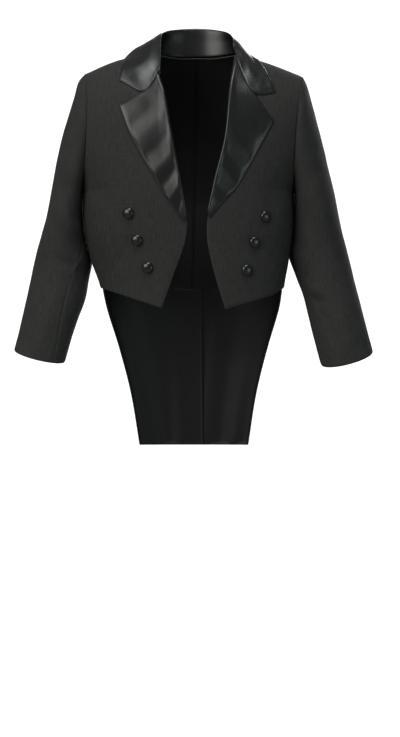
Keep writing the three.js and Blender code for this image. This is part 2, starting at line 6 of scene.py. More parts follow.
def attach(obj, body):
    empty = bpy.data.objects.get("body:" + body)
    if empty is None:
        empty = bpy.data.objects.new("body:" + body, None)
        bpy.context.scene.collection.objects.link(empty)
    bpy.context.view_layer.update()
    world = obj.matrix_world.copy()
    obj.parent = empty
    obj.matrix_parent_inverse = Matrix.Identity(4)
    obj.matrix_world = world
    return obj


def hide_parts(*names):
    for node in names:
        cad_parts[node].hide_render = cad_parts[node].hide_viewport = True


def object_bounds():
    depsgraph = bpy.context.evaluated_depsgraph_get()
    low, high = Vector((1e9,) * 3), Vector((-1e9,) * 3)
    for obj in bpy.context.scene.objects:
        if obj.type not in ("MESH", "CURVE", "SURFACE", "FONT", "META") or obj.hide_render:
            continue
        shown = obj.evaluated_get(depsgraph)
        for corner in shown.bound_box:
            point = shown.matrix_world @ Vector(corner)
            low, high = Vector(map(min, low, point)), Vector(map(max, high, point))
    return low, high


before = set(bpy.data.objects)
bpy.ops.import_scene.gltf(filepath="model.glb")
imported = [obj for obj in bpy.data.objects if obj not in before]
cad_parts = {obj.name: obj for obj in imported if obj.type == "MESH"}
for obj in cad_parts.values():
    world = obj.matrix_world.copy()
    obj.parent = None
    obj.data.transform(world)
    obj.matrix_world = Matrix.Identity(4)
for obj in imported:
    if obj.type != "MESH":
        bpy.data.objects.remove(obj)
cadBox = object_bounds()

# A child's white tie tailcoat, filled out as worn. Sizes are in millimetres until a mesh is made.
# side is +1 for the wearer's left (+X) and -1 for the right. face is -1 in front, +1 behind.
mm = 0.001
suitWall, satinWall = 1.7, 1.1  # visible thickness of the suiting and of the satin
satinSolid = 1.5  # thickness that the satin pieces have in the frame
seamTuck = 0.12  # how far the edges of two pieces reach into each other at a seam
layerGap = 0.4  # between a piece and what it lies on
edgeRound, edgeFade = 1.4, 4  # how far from an edge the cloth turns in, and its creases fade out
sideNames = {1: "left", -1: "right"}


def lerp(a, b, t):
    return a + (b - a) * t


def clamp(v, low=0.0, high=1.0):
    return max(low, min(high, v))


def ease(t):
    t = clamp(t)
    return t * t * (3 - 2 * t)


def mix(p, q, t):
    return [lerp(a, b, t) for a, b in zip(p, q)]


# A smooth step from a to b, with the slopes slopeA and slopeB at its ends.
def smooth(a, b, slopeA, slopeB, t):
    t2, t3 = t * t, t * t * t
    ahead = 3 * t2 - 2 * t3
    return (1 - ahead) * a + (t3 - 2 * t2 + t) * slopeA + ahead * b + (t3 - t2) * slopeB


# The value at z in rows of [z, value] from the top down.
def level(rows, z):
    if z >= rows[0][0]:
        return rows[0][1]
    for i in range(1, len(rows)):
        a, b = rows[i - 1], rows[i]
        if z < b[0]:
            continue
        before, after = rows[max(0, i - 2)], rows[min(len(rows) - 1, i + 1)]
        t, span = (a[0] - z) / (a[0] - b[0]), b[0] - a[0]
        slopeA = (b[1] - before[1]) / (b[0] - before[0]) * span
        slopeB = (after[1] - a[1]) / (after[0] - a[0]) * span
        return smooth(a[1], b[1], slopeA, slopeB, t)
    return rows[-1][1]


# A point at a share of the length of a chain of points, curved or straight between them.
def along(points, share, curved=True):
    steps = [math.dist(p, q) for p, q in zip(points, points[1:])]
    rest = clamp(share) * sum(steps)
    for i, step in enumerate(steps):
        if rest <= step or i == len(steps) - 1:
            t = rest / step
            return curvedStep(points, steps, i, t) if curved else mix(points[i], points[i + 1], t)
        rest -= step


def curvedStep(points, steps, i, t):
    slopes = []
    for j in (i, i + 1):
        a, b = max(0, j - 1), min(len(points) - 1, j + 1)
        length = sum(steps[a:b])
        slopes.append([(v - u) / length * steps[i] for u, v in zip(points[a], points[b])])
    return [smooth(p, q, a, b, t) for p, q, a, b in zip(points[i], points[i + 1], *slopes)]


# A point on a curve through a list of points, where s counts whole steps of the list.
def between(points, s):
    i = min(int(s), len(points) - 2)
    before, start, end, after = (points[clamp(j, 0, len(points) - 1)] for j in range(i - 1, i + 3))
    return [smooth(b, c, (c - a) / 2, (d - b) / 2, s - i) for a, b, c, d in zip(before, start, end, after)]


# The body that the coat keeps the form of
body = {
    "neckHalf": 60, "napeEase": 22, "napeSlope": 0.36, "pitZ": -178, "waistZ": -303, "power": 2.35,
    "centreX": [[20, 1], [-28, -3], [-116, -7.5], [-180, -10.5], [-228, -10], [-269, -8], [-303, -5],
                [-340, -4], [-520, -3]],
    "halfWidth": [[20, 140], [-28, 140], [-116, 134.5], [-178, 136.7], [-228, 135.2], [-269, 128.4],
                  [-303, 119.5], [-340, 117], [-420, 119], [-520, 121]],
    -1: [[20, 78], [-120, 79], [-180, 80], [-230, 77], [-270, 74], [-303, 73], [-345, 73]],
    1: [[20, 76], [-70, 78], [-130, 81], [-180, 79], [-230, 70], [-280, 62], [-303, 62], [-340, 68],
        [-400, 77], [-520, 86]],
    "roundNeck": 128, "roundArm": 75.5, "armholeDepth": 47,
}
armholes = {1: {"top": (138, -28.6), "bottom": (127, -178), "bow": 4, "crown": 1.3},
            -1: {"top": (-143, -24), "bottom": (-147.2, -178), "bow": -3, "crown": 4.7}}


def reach(x):
    return math.hypot(x, body["napeEase"]) - math.hypot(body["neckHalf"], body["napeEase"])


def topZ(x):
    hole, neck = armholes[-1 if x < 0 else 1], body["neckHalf"]
    armX, armZ = hole["top"]
    slope = -body["napeSlope"] if abs(x) < neck else armZ / reach(armX)
    share = clamp((abs(x) - neck) / (abs(armX) - neck))
    return reach(x) * slope + hole["crown"] * max(0, math.sin(math.pi * share)) ** 1.3


def roundAt(x):
    return lerp(body["roundNeck"], body["roundArm"], clamp((abs(x) - 48) / 92))


def turnZ(x, turn):
    return topZ(x) - roundAt(x) * (1 - math.cos(turn))


def wideAt(z, depth):
    half, arm = level(body["halfWidth"], z), body["roundArm"]
    if z <= body["pitZ"]:
        return half
    middle = body["pitZ"] + arm
    y = 1 if z > middle else math.sqrt(max(0, 1 - ((z - middle) / arm) ** 2))
    return half / (1 - (body["armholeDepth"] * y / depth) ** body["power"]) ** (1 / body["power"])


def bodyPoint(x, z, face, out=0.0):
    depth = level(body[face], z)
    s = min(1, abs(x - level(body["centreX"], z)) / wideAt(z, depth))
    drop = clamp((topZ(x) - z) / roundAt(x))
    rounded = math.sqrt(1 - (1 - drop) ** 2)
    return [x, face * (rounded * depth * (1 - s ** body["power"]) ** (1 / body["power"]) + out), z]


def bodyNormal(x, z, face):
    e = 1.5
    yx = (bodyPoint(x + e, z, face)[1] - bodyPoint(x - e, z, face)[1]) / (2 * e)
    yz = (bodyPoint(x, z + e, face)[1] - bodyPoint(x, z - e, face)[1]) / (2 * e)
    return (Vector((-yx, 1, -yz)) * face).normalized()


# A spot on the body at [x, z], moved out along the normal.
def spot(x, z, face, lift):
    low = min(z, topZ(x) - 0.6)
    p = Vector(bodyPoint(x, low, face)) + bodyNormal(x, low, face) * lift
    return [p.x, p.y, p.z + z - low]


def clearOf(p, need):
    x, z, face = p[0], p[2], -1 if p[1] < 0 else 1
    if z > topZ(x) - 0.2:
        return p
    n = bodyNormal(x, z, face)
    short = need - face * (p[1] - bodyPoint(x, z, face)[1]) * abs(n.y)
    return list(Vector(p) + n * short) if short > 0 else p


def armhole(side, angle):
    hole = armholes[side]
    x, z = mix(hole["top"], hole["bottom"], (1 - math.cos(angle)) / 2)
    return [x - hole["bow"] * math.sin(angle) ** 2, -body["armholeDepth"] * math.sin(angle), z]


ringStep = math.pi / 12


def sidePoint(k):
    z = lerp(body["pitZ"], body["waistZ"], k / 8)
    return lambda side: [level(body["centreX"], z) + side * level(body["halfWidth"], z), 0, z]


creaseReach = 0.35  # how much a gap along Y counts, so that a path need not lie exactly on the cloth


# A crease runs along a chain of points. depth below 0 is a trough, above 0 a ridge, and its ends fade out.
def creased(p, creases):
    out = 0.0
    p = (p[0], p[1] * creaseReach, p[2])
    for c in creases:
        best, where, total = 1e9, 0, 0
        run = [(x, y * creaseReach, z) for x, y, z in c["path"]]
        lengths = [math.dist(a, b) for a, b in zip(run, run[1:])]
        for a, b, length in zip(run, run[1:], lengths):
            t = clamp(sum((pk - ak) * (bk - ak) for pk, ak, bk in zip(p, a, b)) / (length * length))
            gap = math.dist(p, mix(a, b, t))
            if gap < best:
                best, where = gap, total + t * length
            total += length
        if best < 3 * c["width"]:
            fade = ease(min(where, total - where) / (0.3 * total) + c.get("open", 0))
            out += c["depth"] * fade * math.exp(-(best / c["width"]) ** 2)
    return out


def rumple(p, size, seed):
    return noise.noise(Vector((p[0] / size + seed, p[1] / size, p[2] / size - seed)))


# Shares from 0 to 1, close together at both ends, where an edge turns in.
def shares(count, size, ends=(0.5, 1.3, 2.6, 4.5)):
    near = [0] + [e / size for e in ends]
    far = [1 - v for v in reversed(near)]
    inner = [lerp(near[-1], far[0], i / count) for i in range(1, count)]
    return near + inner + far


# The grain of a body piece hangs straight down, counted across from the middle of the coat.
def bodyGrain(u, v, row, c, across):
    start = row[0].x if abs(row[0].x) < 70 else 0
    return abs(start) + across if abs(start) else 400 - across, row[c].z


# Makes one shell from a surface of (u, v). rows and columns are counts, size is (width, length).
# turnIn is how far each of the four edges turns in, and grain gives a point's place on the cut.
def makeSheet(name, surface, columns, rows, size, wall, flip, relief, cloths,
              turnIn=(0.7, 0.7, 0.7, 0.7), grain=None):
    us, vs = shares(columns, size[0]), shares(rows, size[1])
    grid = [[Vector(surface(u, v)) for u in us] for v in vs]
    nr, nc = len(vs), len(us)
    normals = []
    for r in range(nr):
        line = []
        for c in range(nc):
            du = grid[r][min(c + 1, nc - 1)] - grid[r][max(c - 1, 0)]
            dv = grid[min(r + 1, nr - 1)][c] - grid[max(r - 1, 0)][c]
            n = dv.cross(du).normalized()
            line.append(-n if flip else n)
        normals.append(line)
    verts, uvs, edges = [], [], []
    across = [0.0] * nr
    down = [0.0] * nc
    for r in range(nr):
        across[r] = 0.0
        for c in range(nc):
            if c:
                across[r] += (grid[r][c] - grid[r][c - 1]).length
            if r:
                down[c] += (grid[r][c] - grid[r - 1][c]).length
            x, y = grain(us[c], vs[r], grid[r], c, across[r]) if grain else (across[r], down[c])
            uvs.append((x * mm, y * mm))
            near = [us[c] * size[0], (1 - us[c]) * size[0], vs[r] * size[1], (1 - vs[r]) * size[1]]
            drop = sum(t * math.exp(-(d / edgeRound) ** 2) for d, t in zip(near, turnIn) if t)
            edges.append(min([d for d, t in zip(near, turnIn) if t] or [99]) * mm)
            p = grid[r][c]
            pull = Vector((0, 0, 0))
            if c in (0, nc - 1):
                pull += (p - grid[r][1 if c == 0 else nc - 2]).normalized() * seamTuck
            if r in (0, nr - 1):
                pull += (p - grid[1 if r == 0 else nr - 2][c]).normalized() * seamTuck
            fade = ease(min(near) / edgeFade)
            verts.append((p + pull + normals[r][c] * (relief(p, us[c], vs[r]) * fade - drop)) * mm)
    faces = []
    for r in range(nr - 1):
        for c in range(nc - 1):
            a, b, d, e = r * nc + c, (r + 1) * nc + c, (r + 1) * nc + c + 1, r * nc + c + 1
            faces.append((a, e, d, b) if flip else (a, b, d, e))
    mesh = bpy.data.meshes.new(name)
    mesh.from_pydata(verts, [], faces)
    layer = mesh.uv_layers.new(name="cut")
    for loop in mesh.loops:
        layer.data[loop.index].uv = uvs[loop.vertex_index]
    attribute = mesh.attributes.new("edgeGap", "FLOAT", "POINT")
    attribute.data.foreach_set("value", edges)
    mesh.update()
    piece = bpy.data.objects.new(name, mesh)
    bpy.context.scene.collection.objects.link(piece)
    bpy.ops.object.select_all(action="DESELECT")
    piece.select_set(True)
    bpy.context.view_layer.objects.active = piece
    bpy.ops.object.shade_smooth()
    for cloth in cloths:
        piece.data.materials.append(cloth)
    thick = piece.modifiers.new("wall", "SOLIDIFY")
    thick.material_offset = len(cloths) - 1
    thick.thickness, thick.offset = wall * mm, -1
    bpy.ops.object.modifier_apply(modifier="wall")
    width, length = max(across) * mm, max(down) * mm
    area = sum(f.area for f in mesh.polygons) / 2
    return piece, width, length, area


def finishPiece(made, node):
    piece, width, length, area = made
    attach(piece, "root")
    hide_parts(node)
    print(f"{node}: cut {width:.3f} x {length:.3f} m, {area:.4f} m2")
    return piece


def group(name, inputs, outputs):
    made = bpy.data.node_groups.new(name, "ShaderNodeTree")
    for label, kind, value in inputs:
        socket = made.interface.new_socket(label, in_out="INPUT", socket_type=kind)
        if value is not None:
            socket.default_value = value
    for label, kind in outputs:
        made.interface.new_socket(label, in_out="OUTPUT", socket_type=kind)
    return made, made.nodes.new("NodeGroupInput"), made.nodes.new("NodeGroupOutput")


def maths(tree, operation, a, b=None, c=None, clampIt=False):
    node = tree.nodes.new("ShaderNodeMath")
    node.operation, node.use_clamp = operation, clampIt
    for i, v in enumerate((a, b, c)):
        if v is None:
            continue
        if isinstance(v, (int, float)):
            node.inputs[i].default_value = v
        else:
            tree.links.new(v, node.inputs[i])
    return node.outputs[0]


def noiseAt(tree, vector, scale, detail=2.0, stretch=None):
    if stretch:
        mapping = tree.nodes.new("ShaderNodeMapping")
        mapping.inputs["Scale"].default_value = stretch
        tree.links.new(vector, mapping.inputs["Vector"])
        vector = mapping.outputs["Vector"]
    node = tree.nodes.new("ShaderNodeTexNoise")
    node.inputs["Scale"].default_value = scale
    node.inputs["Detail"].default_value = detail
    tree.links.new(vector, node.inputs["Vector"])
    return node.outputs["Fac"]


# A weave: threads along and across the cut, one lifted over the other, with uneven yarn.
def weaveGroup():
    inputs = [("Cut", "NodeSocketVector", None), ("Pitch", "NodeSocketFloat", 1.0),
              ("Rib", "NodeSocketFloat", 1.0)]
    outputs = [("Height", "NodeSocketFloat"), ("Streak", "NodeSocketFloat")]
    tree, given, result = group("weave", inputs, outputs)
    split = tree.nodes.new("ShaderNodeSeparateXYZ")
    tree.links.new(given.outputs["Cut"], split.inputs[0])
    turns = maths(tree, "DIVIDE", 6.2832, given.outputs["Pitch"])
    acrossWave = maths(tree, "SINE", maths(tree, "MULTIPLY", split.outputs["X"], turns))
    downWave = maths(tree, "SINE", maths(tree, "MULTIPLY", split.outputs["Y"], turns))
    check = maths(tree, "MULTIPLY", acrossWave, downWave)
    ribbed = maths(tree, "MULTIPLY", acrossWave, given.outputs["Rib"])
    height = maths(tree, "MULTIPLY_ADD", maths(tree, "ADD", check, ribbed), 0.25, 0.5)
    warp = noiseAt(tree, given.outputs["Cut"], 1.0, 2.0, (760, 60, 1))
    weft = noiseAt(tree, given.outputs["Cut"], 1.0, 2.0, (70, 700, 1))
    fleck = noiseAt(tree, given.outputs["Cut"], 1.0, 1.0, (560, 560, 1))
    mixed = maths(tree, "ADD", maths(tree, "MULTIPLY", warp, 0.5), maths(tree, "MULTIPLY", weft, 0.25))
    mixed = maths(tree, "MULTIPLY_ADD", fleck, 0.25, mixed)
    streak = maths(tree, "MULTIPLY_ADD", maths(tree, "SUBTRACT", mixed, 0.5), 2.2, 0.5, True)
    tree.links.new(height, result.inputs["Height"])
    tree.links.new(streak, result.inputs["Streak"])
    return tree


weave = weaveGroup()


# dark and light are yarn colours, and pitch and bump are in metres. rib and puckers are measured against
# the height of a thread, and gloss and the strength of the highlight painted along edges are shares.
finishes = {
    "suiting": {"dark": (0.0050, 0.0050, 0.0049), "light": (0.0322, 0.0330, 0.0312), "roughness": 0.90,
                "pitch": 0.0011, "rib": 0.6, "bump": 0.00022, "gloss": 0.16, "edgeHighlight": 0.08,
                "puckers": 5.0},
    "lining": {"dark": (0.003, 0.003, 0.0032), "light": (0.006, 0.006, 0.0063), "roughness": 0.52,
               "pitch": 0.0006, "rib": 0.2, "bump": 0.00005, "gloss": 0.16, "edgeHighlight": 0.0, "puckers": 3.0},
    "satin": {"dark": (0.0026, 0.0030, 0.0029), "light": (0.0056, 0.0064, 0.0061), "roughness": 0.31,
              "pitch": 0.0006, "rib": 0.2, "bump": 0.00006, "gloss": 0.34, "edgeHighlight": 0.15, "puckers": 6.0},
    "buttonSatin": {"dark": (0.0018, 0.002, 0.002), "light": (0.004, 0.0044, 0.0042), "roughness": 0.22,
                    "pitch": 0.0007, "rib": 0.2, "bump": 0.00004, "gloss": 0.4, "edgeHighlight": 0.0,
                    "puckers": 0.0},
}


# How far in from an edge, in metres, a lighter colour is painted as an edge highlight, and how far its seam
# puckers.
edgeHighlightWidth, puckerWidth = 0.0022, 0.014


def clothMaterial(name):
    finish = finishes[name]
    dark, light = finish["dark"], finish["light"]
    material = bpy.data.materials.new(name)
    material.use_nodes = True
    tree = material.node_tree
    shader = tree.nodes["Principled BSDF"]
    cut = tree.nodes.new("ShaderNodeUVMap")
    cut.uv_map = "cut"
    threads = tree.nodes.new("ShaderNodeGroup")
    threads.node_tree = weave
    threads.inputs["Pitch"].default_value = finish["pitch"]
    threads.inputs["Rib"].default_value = finish["rib"]
    tree.links.new(cut.outputs["UV"], threads.inputs["Cut"])
    place = tree.nodes.new("ShaderNodeTexCoord")
    broad = noiseAt(tree, place.outputs["Object"], 9.0, 2.0)
    faded = maths(tree, "MULTIPLY", broad, 0.25)
    tone = maths(tree, "MULTIPLY_ADD", threads.outputs["Streak"], 0.75, faded, True)
    edge = tree.nodes.new("ShaderNodeAttribute")
    edge.attribute_name = "edgeGap"
    # A lighter colour is painted within a few millimetres of each edge: a painted highlight standing in for
    # light caught by the rounded edge.
    edgeHighlightShare = maths(tree, "SUBTRACT", 1.0, maths(tree, "DIVIDE", edge.outputs["Fac"], edgeHighlightWidth), None, True)
    colour = tree.nodes.new("ShaderNodeMix")
    colour.data_type = "RGBA"
    colour.inputs["A"].default_value, colour.inputs["B"].default_value = (*dark, 1), (*light, 1)
    tree.links.new(tone, colour.inputs["Factor"])
    edgeHighlightMix = tree.nodes.new("ShaderNodeMix")
    edgeHighlightMix.data_type = "RGBA"
    edgeHighlightMix.inputs["B"].default_value = (light[0] * 2.2, light[1] * 2.2, light[2] * 2.1, 1)
    tree.links.new(maths(tree, "MULTIPLY", edgeHighlightShare, finish["edgeHighlight"]), edgeHighlightMix.inputs["Factor"])
    tree.links.new(colour.outputs["Result"], edgeHighlightMix.inputs["A"])
    tree.links.new(edgeHighlightMix.outputs["Result"], shader.inputs["Base Color"])
    roughness = maths(tree, "MULTIPLY_ADD", tone, 0.16, finish["roughness"] - 0.08)
    tree.links.new(roughness, shader.inputs["Roughness"])
    shader.inputs["Specular IOR Level"].default_value = finish["gloss"]
    soft = noiseAt(tree, place.outputs["Object"], 55.0, 2.0, (1, 1, 0.5))
    inward = maths(tree, "DIVIDE", edge.outputs["Fac"], puckerWidth)
    seamShare = maths(tree, "SUBTRACT", 1.0, inward, None, True)
    seamSoft = maths(tree, "MULTIPLY", soft, seamShare)
    height = maths(tree, "MULTIPLY_ADD", seamSoft, finish["puckers"], threads.outputs["Height"])
    relief = tree.nodes.new("ShaderNodeBump")
    relief.inputs["Strength"].default_value = 0.5
    relief.inputs["Distance"].default_value = finish["bump"]
    tree.links.new(height, relief.inputs["Height"])
    tree.links.new(relief.outputs["Normal"], shader.inputs["Normal"])
    return material


suitCloth = [clothMaterial("suiting"), clothMaterial("lining")]
satinCloth = [clothMaterial("satin")]
buttonSatin = clothMaterial("buttonSatin")
print("materials made")

fronts = {
    "cloth": (150, 335), "inset": 3.4,
    1: {"edge": [[0, 60], [-4.5, 55.5], [-10, 50.8], [-24, 47.2], [-46, 43.2], [-109, 37.6], [-162.5, 25.1],
                 [-206, 15.7], [-225.5, 14], [-248, 15], [-297, 26.8], [-331.5, 37.6]],
        "hem": [[37.6, -331.5], [98.7, -313.5], [114.5, -303]],
        "creases": [
            {"path": [(118, -62, -150), (102, -72, -190), (84, -74, -214)], "width": 11, "depth": -1.1},
            {"path": [(125, -45, -150), (112, -60, -205), (100, -66, -262)], "width": 14, "depth": 1.3},
            {"path": [(60, -78, -238), (92, -66, -268), (112, -45, -288)],
             "width": 12, "depth": -1.2, "open": 0.3},
            {"path": [(28, -76, -250), (40, -74, -290), (46, -73, -325)],
             "width": 12, "depth": 0.9, "open": 0.4},
        ]},
    -1: {"edge": [[0, -60], [-5, -56.5], [-14, -52], [-26, -49.3], [-40, -45.3], [-117, -29.7],
                  [-180.5, -18.1], [-211, -12.8], [-226, -11.6], [-249, -15.4], [-287, -29], [-330, -44.6]],
         "hem": [[-44.6, -330], [-121, -304.5], [-124.5, -303]],
         "creases": [
             {"path": [(-134, -55, -150), (-120, -66, -186), (-100, -72, -212)], "width": 11, "depth": -1.0},
             {"path": [(-138, -42, -165), (-128, -52, -215), (-112, -60, -262)], "width": 14, "depth": 1.2},
             {"path": [(-66, -76, -242), (-98, -64, -270), (-122, -42, -285)],
              "width": 12, "depth": -1.1, "open": 0.3},
             {"path": [(-30, -76, -250), (-44, -74, -290), (-54, -73, -322)],
              "width": 12, "depth": 0.9, "open": 0.4},
         ]},
}


def edgeX(side, z):
    hidden = 1 - ease((-z - 196) / 22)
    return level(fronts[side]["edge"], z) + side * fronts["inset"] * hidden * ease(-z / 30)


def onTurn(side, turn):
    z = 0.0
    for _ in range(12):
        z = turnZ(edgeX(side, z), turn)
    return [edgeX(side, z), z]


def hemZ(line, x):
    for i in range(1, len(line)):
        if abs(x) <= abs(line[i][0]) or i == len(line) - 1:
            return lerp(line[i - 1][1], line[i][1], (x - line[i - 1][0]) / (line[i][0] - line[i - 1][0]))


def frontSurface(side):
    turned, shape = onTurn(side, math.pi / 2), fronts[side]
    breakZ, bottomZ = shape["edge"][8][0], shape["edge"][-1][0]
    inners = {}

    def place(u, v):
        k = v * 20
        if k not in inners:
            z = lerp(turned[1], breakZ, clamp((k - 6) / 6))
            if k > 12:
                z = lerp(breakZ, bottomZ, (k - 12) / 8)
            inners[k] = onTurn(side, k * ringStep) if k <= 6 else [edgeX(side, z), z]
        inner = inners[k]
        outer = armhole(side, k * ringStep) if k <= 12 else sidePoint(k - 12)(side)
        crowd, byAngle = lerp(0.45, 1, clamp((k - 5) / 4)), clamp((k - 6) / 3)
        half, turn = body["power"] / 2, k * ringStep

        def wide(z):
            return wideAt(z, level(body[-1], z))

        def bySpan(share):
            at = math.sin(share * crowd * math.pi / 2) / math.sin(crowd * math.pi / 2)
            x = lerp(inner[0], outer[0], at)
            return bodyPoint(x, turnZ(x, turn) if k < 6 else lerp(inner[1], outer[2], at), -1)

        def across(angle):
            return math.sin(angle) ** (1 / half)

        fromCentre = side * (inner[0] - level(body["centreX"], inner[1]))
        first = math.asin(max(0, fromCentre / wide(inner[1])) ** half)
        last = math.acos((abs(outer[1]) / level(body[-1], outer[2])) ** half)

        def raw(share):
            if byAngle <= 0:
                return bySpan(share)
            angle = lerp(first, last, share)
            z = lerp(inner[1], outer[2], (across(angle) - across(first)) / (across(last) - across(first)))
            p = [level(body["centreX"], z) + side * wide(z) * across(angle),
                 -level(body[-1], z) * max(0, math.cos(angle)) ** (1 / half), z]
            return mix(bySpan(share), p, byAngle)

        p, end = raw(u), raw(1)
        p = [a + (outer[i] - end[i]) * u ** 4 for i, a in enumerate(p)]
        if k > 17:
            cornerX, sideX = edgeX(side, bottomZ), sidePoint(8)(side)[0]
            bottom = lerp(bottomZ, body["waistZ"], (p[0] - cornerX) / (sideX - cornerX))
            p[2] += (hemZ(shape["hem"], p[0]) - bottom) * (k - 17) / 3
        return p

    return place


def frontRelief(side):
    def relief(p, u, v):
        soft = 0.55 * rumple(p, 60, 3 + side) + 0.28 * rumple(p, 24, 8 + side)
        return soft + creased(p, fronts[side]["creases"])
    return relief


for side, name in sideNames.items():
    made = makeSheet("coatFront" + name.title(), frontSurface(side), 44, 80, fronts["cloth"], suitWall,
                     side < 0, frontRelief(side), suitCloth, grain=bodyGrain)
    finishPiece(made, "front_" + name)
print("fronts made")

backs = {
    "seam": [[-116, 0], [-178, 100], [-228, 70], [-269, 50], [-303, 42]],
    "neckTurn": 0.5, "bottomZ": -508, "lap": 12,
    "tailEdge": [[-303, 118], [-330, 113], [-380, 98], [-440, 83], [-508, 72]],
    "creases": {
        1: [{"path": [(120, 52, -130), (96, 70, -165), (62, 78, -190)], "width": 13, "depth": -1.3},
            {"path": [(118, 48, -160), (88, 66, -206), (52, 70, -238)], "width": 12, "depth": 1.2},
            {"path": [(104, 40, -262), (70, 58, -282), (30, 64, -292)], "width": 9, "depth": -1.2},
            {"path": [(80, 66, -60), (92, 68, -110), (96, 68, -160)], "width": 14, "depth": 1.1}],
        -1: [{"path": [(-132, 50, -130), (-108, 69, -168), (-74, 78, -196)], "width": 13, "depth": -1.2},
             {"path": [(-130, 46, -165), (-100, 64, -210), (-66, 70, -246)], "width": 12, "depth": 1.2},
             {"path": [(-112, 40, -258), (-78, 58, -280), (-40, 64, -294)], "width": 9, "depth": -1.2},
             {"path": [(-88, 66, -62), (-100, 68, -112), (-106, 66, -160)], "width": 14, "depth": 1.0}],
    },
    "tailFolds": [(0.30, 0.09, -1.6), (0.52, 0.10, 2.2), (0.74, 0.08, -2.0), (0.92, 0.06, 1.2)],
}


def centreBackX(z):
    waist, low = body["waistZ"], backs["bottomZ"]
    return lerp(1, -5, z / waist) if z > waist else lerp(-5, -3, (z - waist) / (low - waist))


def backSeamPoint(side, k):
    start = armhole(side, math.pi + 5 * ringStep)
    if k <= 0:
        return start
    z = lerp(start[2], body["waistZ"], k / 8)
    first = abs(start[0] - level(body["centreX"], start[2]))
    away = level([[start[2], first]] + backs["seam"][1:], z)
    p = bodyPoint(level(body["centreX"], z) + side * away, z, 1)
    return mix(start, p, min(1, k / 0.5))


def sideSurface(side):
    line = armhole(side, math.pi + 5 * ringStep)[2]

    def place(u, v):
        k = v * 8
        start, end = sidePoint(k)(side), backSeamPoint(side, k)
        ring = armhole(side, math.pi + u * 5 * ringStep)
        z = lerp(start[2], end[2], u) + (ring[2] - lerp(body["pitZ"], line, u)) * (1 - min(1, k / 5))
        cx, wide = level(body["centreX"], z), wideAt(z, level(body[1], z))
        b = math.asin(min(1, abs(end[0] - cx) / wide))
        p = bodyPoint(cx + side * wide * math.sin(lerp(math.pi / 2, b, u)), z, 1)
        last = bodyPoint(cx + side * wide * math.sin(b), end[2], 1)
        p = [a + (e - l) * u ** 4 for a, e, l in zip(p, end, last)]
        first = bodyPoint(cx + side * wide, start[2], 1)
        p = [a + (s - f) * (1 - u) ** 4 for a, s, f in zip(p, start, first)]
        return mix(ring, p, min(1, k / 0.6))

    return place


def backSurface(side):
    armX = abs(armholes[side]["top"][0])

    def place(u, v):
        k, c = v * 15, u * 8
        outer = armhole(side, -k * ringStep) if k <= 7 else backSeamPoint(side, k - 7)

        def raw(c):
            width = abs(outer[0])
            neck = body["neckHalf"] / armX
            part = c / 3 * neck if c <= 3 else lerp(neck, 1, (c - 3) / 5)
            if k <= 6:
                x = side * part * width
                neckTurn = backs["neckTurn"] * (1 - min(1, abs(x) / body["neckHalf"]) ** 2.4)
                z = turnZ(x, lerp(neckTurn, math.pi / 2, k / 6))
                return bodyPoint(x + centreBackX(z) * max(0, 1 - c), z, 1)
            t = (k - 6) / 9
            z0 = lerp(topZ(0) - roundAt(0), body["waistZ"], t)
            x = lerp(centreBackX(z0), outer[0], lerp(part, c / 8, ease(t * 2)))
            middleZ, armZ = turnZ(0, math.pi / 2), turnZ(side * armX, math.pi / 2)
            bow = turnZ(side * part * armX, math.pi / 2) - lerp(middleZ, armZ, c / 8)
            return bodyPoint(x, lerp(z0, outer[2], c / 8) + bow * (1 - ease((k - 6) / 7)), 1)

        p, end = raw(c), raw(8)
        return [a + (o - e) * u ** 3 for a, o, e in zip(p, outer, end)]

    return place


def tailSurface(side):
    def place(u, v):
        z = lerp(body["waistZ"], backs["bottomZ"], v)
        cx, wide, middle = level(body["centreX"], z), level(body["halfWidth"], z), centreBackX(z)
        a = math.asin((middle - side * backs["lap"] - cx) / wide)
        b = math.asin(side * level(backs["tailEdge"], z) / wide)
        x = cx + wide * math.sin(lerp(a, b, u))
        inLap = ease(1 - (side * (x - middle) - backs["lap"] - 2) / 18)
        return bodyPoint(x, z, 1, 1.3 * side * inLap)
    return place


def backRelief(side):
    def relief(p, u, v):
        soft = 0.5 * rumple(p, 60, 21 + side) + 0.25 * rumple(p, 24, 27 + side)
        return soft + creased(p, backs["creases"][side])
    return relief


def tailRelief(side):
    def relief(p, u, v):
        lapped = ease((u - 0.18) / 0.12)
        folds = sum(d * math.exp(-((u - m) / w) ** 2) for m, w, d in backs["tailFolds"])
        return lapped * (folds * (0.25 + 0.75 * v) * 0.8 + 0.5 * rumple(p, 55, 33 + side))
    return relief


for side, name in sideNames.items():
    made = makeSheet("sideBody" + name.title(), sideSurface(side), 24, 40, (70, 150), suitWall, side < 0,
                     backRelief(side), suitCloth, grain=bodyGrain)
    finishPiece(made, "side_body_" + name)
    made = makeSheet("coatBack" + name.title(), backSurface(side), 40, 70, (120, 310), suitWall, side > 0,
                     backRelief(side), suitCloth, grain=bodyGrain)
    finishPiece(made, "back_" + name)
    made = makeSheet("tail" + name.title(), tailSurface(side), 44, 50, (110, 210), suitWall, side > 0,
                     tailRelief(side), suitCloth, grain=bodyGrain)
    finishPiece(made, "tail_" + name)
print("side bodies, backs and tails made")

